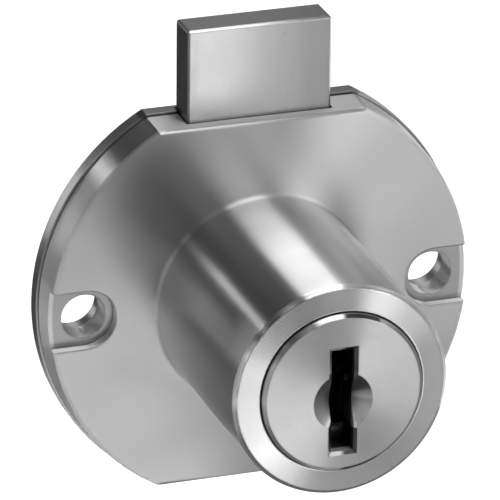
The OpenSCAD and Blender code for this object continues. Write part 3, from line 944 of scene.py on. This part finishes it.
class LOCK_OT_stage(bpy.types.Operator):
    """Set the pale floor, the grey room, the soft lamps and the camera"""

    bl_idname = "drawer_lock.stage"
    bl_label = "Studio"

    def execute(self, context):
        studio = context.scene.lock_studio
        self.room(context, studio)
        self.floor(studio)
        self.lamps(studio)
        self.camera(context, studio)
        context.scene.view_settings.view_transform = "Standard"
        return {"FINISHED"}

    def room(self, context, studio):
        """White behind the lock, for the camera and in the metal, and grey round it."""
        world = bpy.data.worlds.new("room")
        context.scene.world = world
        world.use_nodes = True
        tree = world.node_tree
        tree.nodes.clear()
        light_path = put(tree, "ShaderNodeLightPath")
        # cosines of the angles at which the white and the lighter side begin and are full
        white_edge, white_full, light_edge, light_full = 0.945, 0.995, 0.15, 0.95
        direction = put(tree, "ShaderNodeTexCoord").outputs["Generated"]
        toward = vectors(tree, "DOT_PRODUCT", direction, BEHIND_LOCK, "Value")
        behind = ramp(tree, toward, white_edge, white_full)
        mirrored = maths(
            tree,
            "MAXIMUM",
            light_path.outputs["Is Glossy Ray"],
            light_path.outputs["Is Transmission Ray"],
        )
        shown = maths(tree, "MULTIPLY", mirrored, behind)
        white = maths(tree, "MAXIMUM", light_path.outputs["Is Camera Ray"], shown)
        before = vectors(tree, "DOT_PRODUCT", direction, BEFORE_LOCK, "Value")
        grey = ramp(tree, before, light_edge, light_full, studio.room, studio.room_front)
        strength = chosen(tree, white, grey, 1.0)
        glow = put(tree, "ShaderNodeBackground", {"Color": (1, 1, 1, 1), "Strength": strength})
        out = put(tree, "ShaderNodeOutputWorld")
        tree.links.new(glow.outputs[0], out.inputs[0])

    def floor(self, studio):
        """A wide pale floor behind and below the lock."""
        left, right, lit_near_edges, far = -0.02, 0.6, 0.05, 1.2
        paper, own_glow = (0.8, 0.8, 0.8, 1), 0.82
        z = -studio.floor_z
        mesh = bpy.data.meshes.new("floor")
        corners = [(left, lit_near_edges, z), (right, lit_near_edges, z), (right, far, z), (left, far, z)]
        mesh.from_pydata(corners, [], [(0, 1, 2, 3)])
        made = bpy.data.objects.new("floor", mesh)
        bpy.context.scene.collection.objects.link(made)
        material = bpy.data.materials.new("pale_floor")
        material.use_nodes = True
        tree = material.node_tree
        tree.nodes.clear()
        light_path = put(tree, "ShaderNodeLightPath").outputs
        seen = maths(tree, "MAXIMUM", light_path["Is Camera Ray"], light_path["Is Glossy Ray"])
        seen = maths(tree, "MAXIMUM", seen, light_path["Is Transmission Ray"])
        matt = put(tree, "ShaderNodeBsdfDiffuse", {"Color": paper})
        glow = put(
            tree,
            "ShaderNodeEmission",
            {"Color": (1, 1, 1, 1), "Strength": maths(tree, "MULTIPLY", seen, own_glow)},
        )
        both = put(tree, "ShaderNodeAddShader", {0: matt.outputs[0], 1: glow.outputs[0]})
        out = put(tree, "ShaderNodeOutputMaterial")
        tree.links.new(both.outputs[0], out.inputs[0])
        mesh.materials.append(material)

    def lamps(self, studio):
        """Long soft boxes over and beside the lock."""
        for name, toward, distance, wide, tall, brightness, upright in SOFT_BOXES:
            soft_lamp(name, toward, distance, wide, tall, brightness * studio.lamps, upright)

    def camera(self, context, studio):
        """The photograph's view."""
        data = bpy.data.cameras.new("camera")
        data.lens = studio.lens
        data.sensor_width = 36
        data.clip_start, data.clip_end = 0.01, 20
        made = bpy.data.objects.new("camera", data)
        a, e, r = studio.turn, studio.tilt, studio.roll
        back = Vector((math.sin(a) * math.cos(e), -math.cos(a) * math.cos(e), math.sin(e)))
        sideways = Vector((math.cos(a), math.sin(a), 0))
        upward = back.cross(sideways)
        side = sideways * math.cos(r) + upward * math.sin(r)
        top = upward * math.cos(r) - sideways * math.sin(r)
        target = Vector((-1.1235 * MM, 0, 4.7094 * MM))
        made.matrix_world = looking(side, top, back, target + back * studio.distance)
        context.scene.collection.objects.link(made)
        context.scene.camera = made


class LOCK_PT_panel(bpy.types.Panel):
    """Sizes, colours and steps of the drawer lock"""

    bl_idname = "LOCK_PT_panel"
    bl_label = "Drawer lock"
    bl_space_type = "VIEW_3D"
    bl_region_type = "UI"
    bl_category = "Drawer lock"

    def draw(self, context):
        scene = context.scene
        for group in (scene.lock_finish, scene.lock_sizes, scene.lock_studio):
            box = self.layout.box()
            for name in group.__annotations__:
                box.prop(group, name)
        for step in STEPS:
            self.layout.operator(step.bl_idname)


STEPS = (
    LOCK_OT_finishes,
    LOCK_OT_case,
    LOCK_OT_bolt,
    LOCK_OT_plug,
    LOCK_OT_springs,
    LOCK_OT_rivets,
    LOCK_OT_stage,
)
CLASSES = (LockFinish, LockSizes, StudioSizes) + STEPS + (LOCK_PT_panel,)


def register():
    for cls in CLASSES:
        bpy.utils.register_class(cls)
    bpy.types.Scene.lock_finish = PointerProperty(type=LockFinish)
    bpy.types.Scene.lock_sizes = PointerProperty(type=LockSizes)
    bpy.types.Scene.lock_studio = PointerProperty(type=StudioSizes)


def unregister():
    del bpy.types.Scene.lock_studio
    del bpy.types.Scene.lock_sizes
    del bpy.types.Scene.lock_finish
    for cls in reversed(CLASSES):
        bpy.utils.unregister_class(cls)


def main():
    """Registers the classes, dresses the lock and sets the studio."""
    register()
    for step in STEPS:
        group, name = step.bl_idname.split(".")
        getattr(getattr(bpy.ops, group), name)()


if __name__ == "__main__":
    main()
